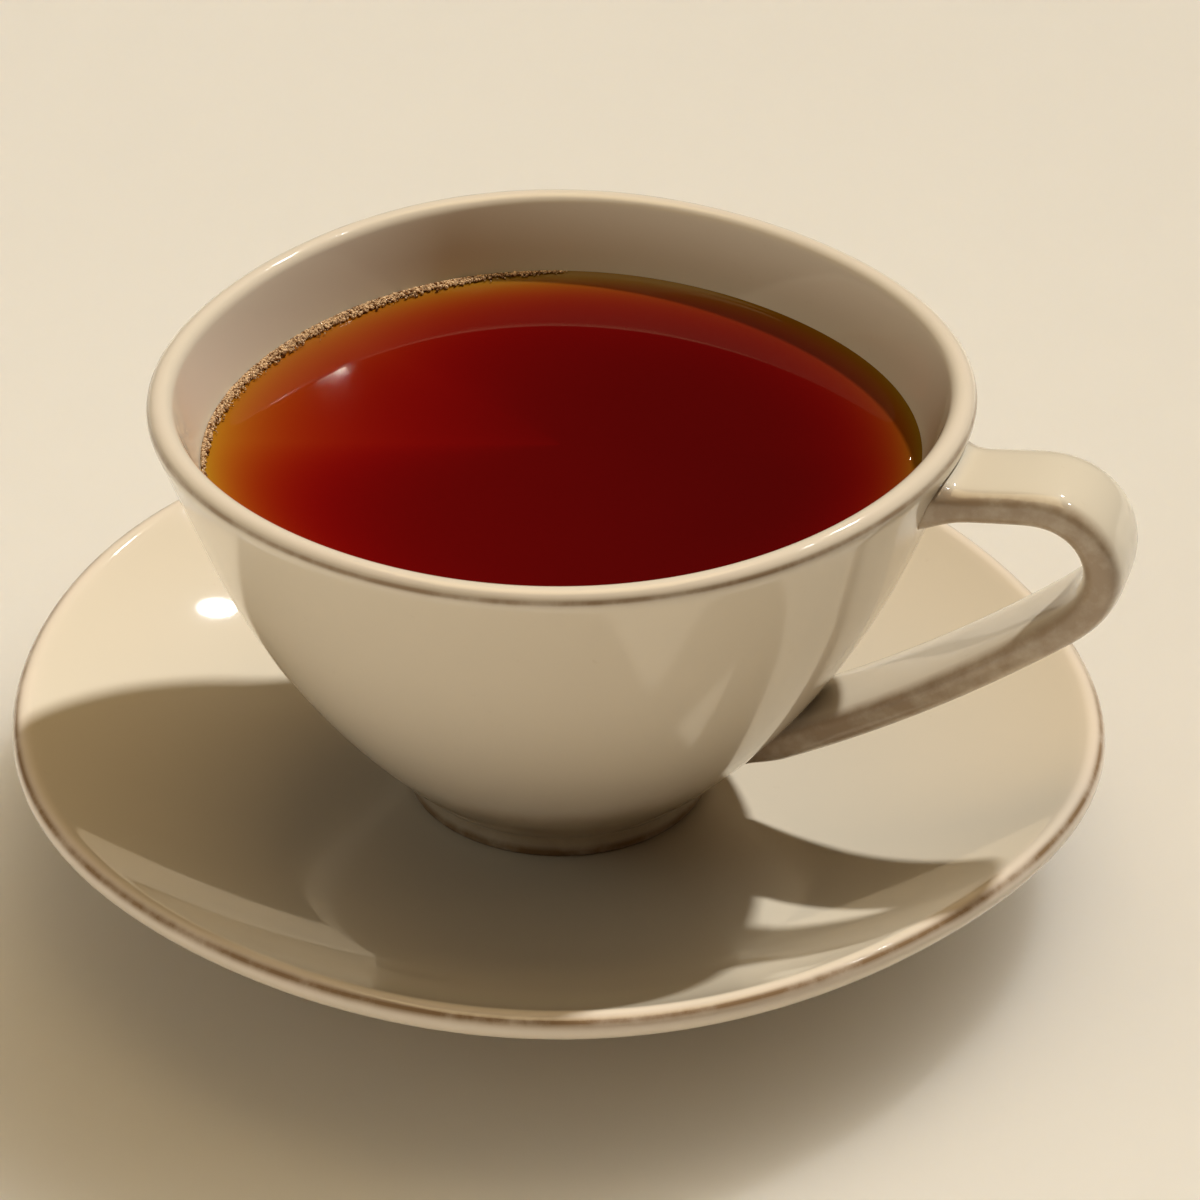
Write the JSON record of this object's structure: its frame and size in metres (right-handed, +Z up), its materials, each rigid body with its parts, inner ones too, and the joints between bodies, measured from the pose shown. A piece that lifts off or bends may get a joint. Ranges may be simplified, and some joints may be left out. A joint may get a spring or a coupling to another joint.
{
  "type": "cup of black tea",
  "caption": "Cup of black tea on its saucer: a flared, round glazed stoneware cup with a strap handle, filled with tea to a little below the lip, standing on a shallow dished saucer.",
  "frame": {"origin": "on the cup's axis, in the plane of the saucer's foot ring, where it stands on a table", "axes": "+Z up, +X from the cup's axis towards the handle"},
  "size_m": [0.146, 0.1438, 0.0677],
  "materials": {
    "saucer_glaze": "gloss",
    "cup_glaze": "gloss",
    "tea": "gloss"
  },
  "bodies": {
    "root": {"saucer": "saucer_glaze", "cup": "cup_glaze", "tea": "tea"}
  },
  "joints": []
}
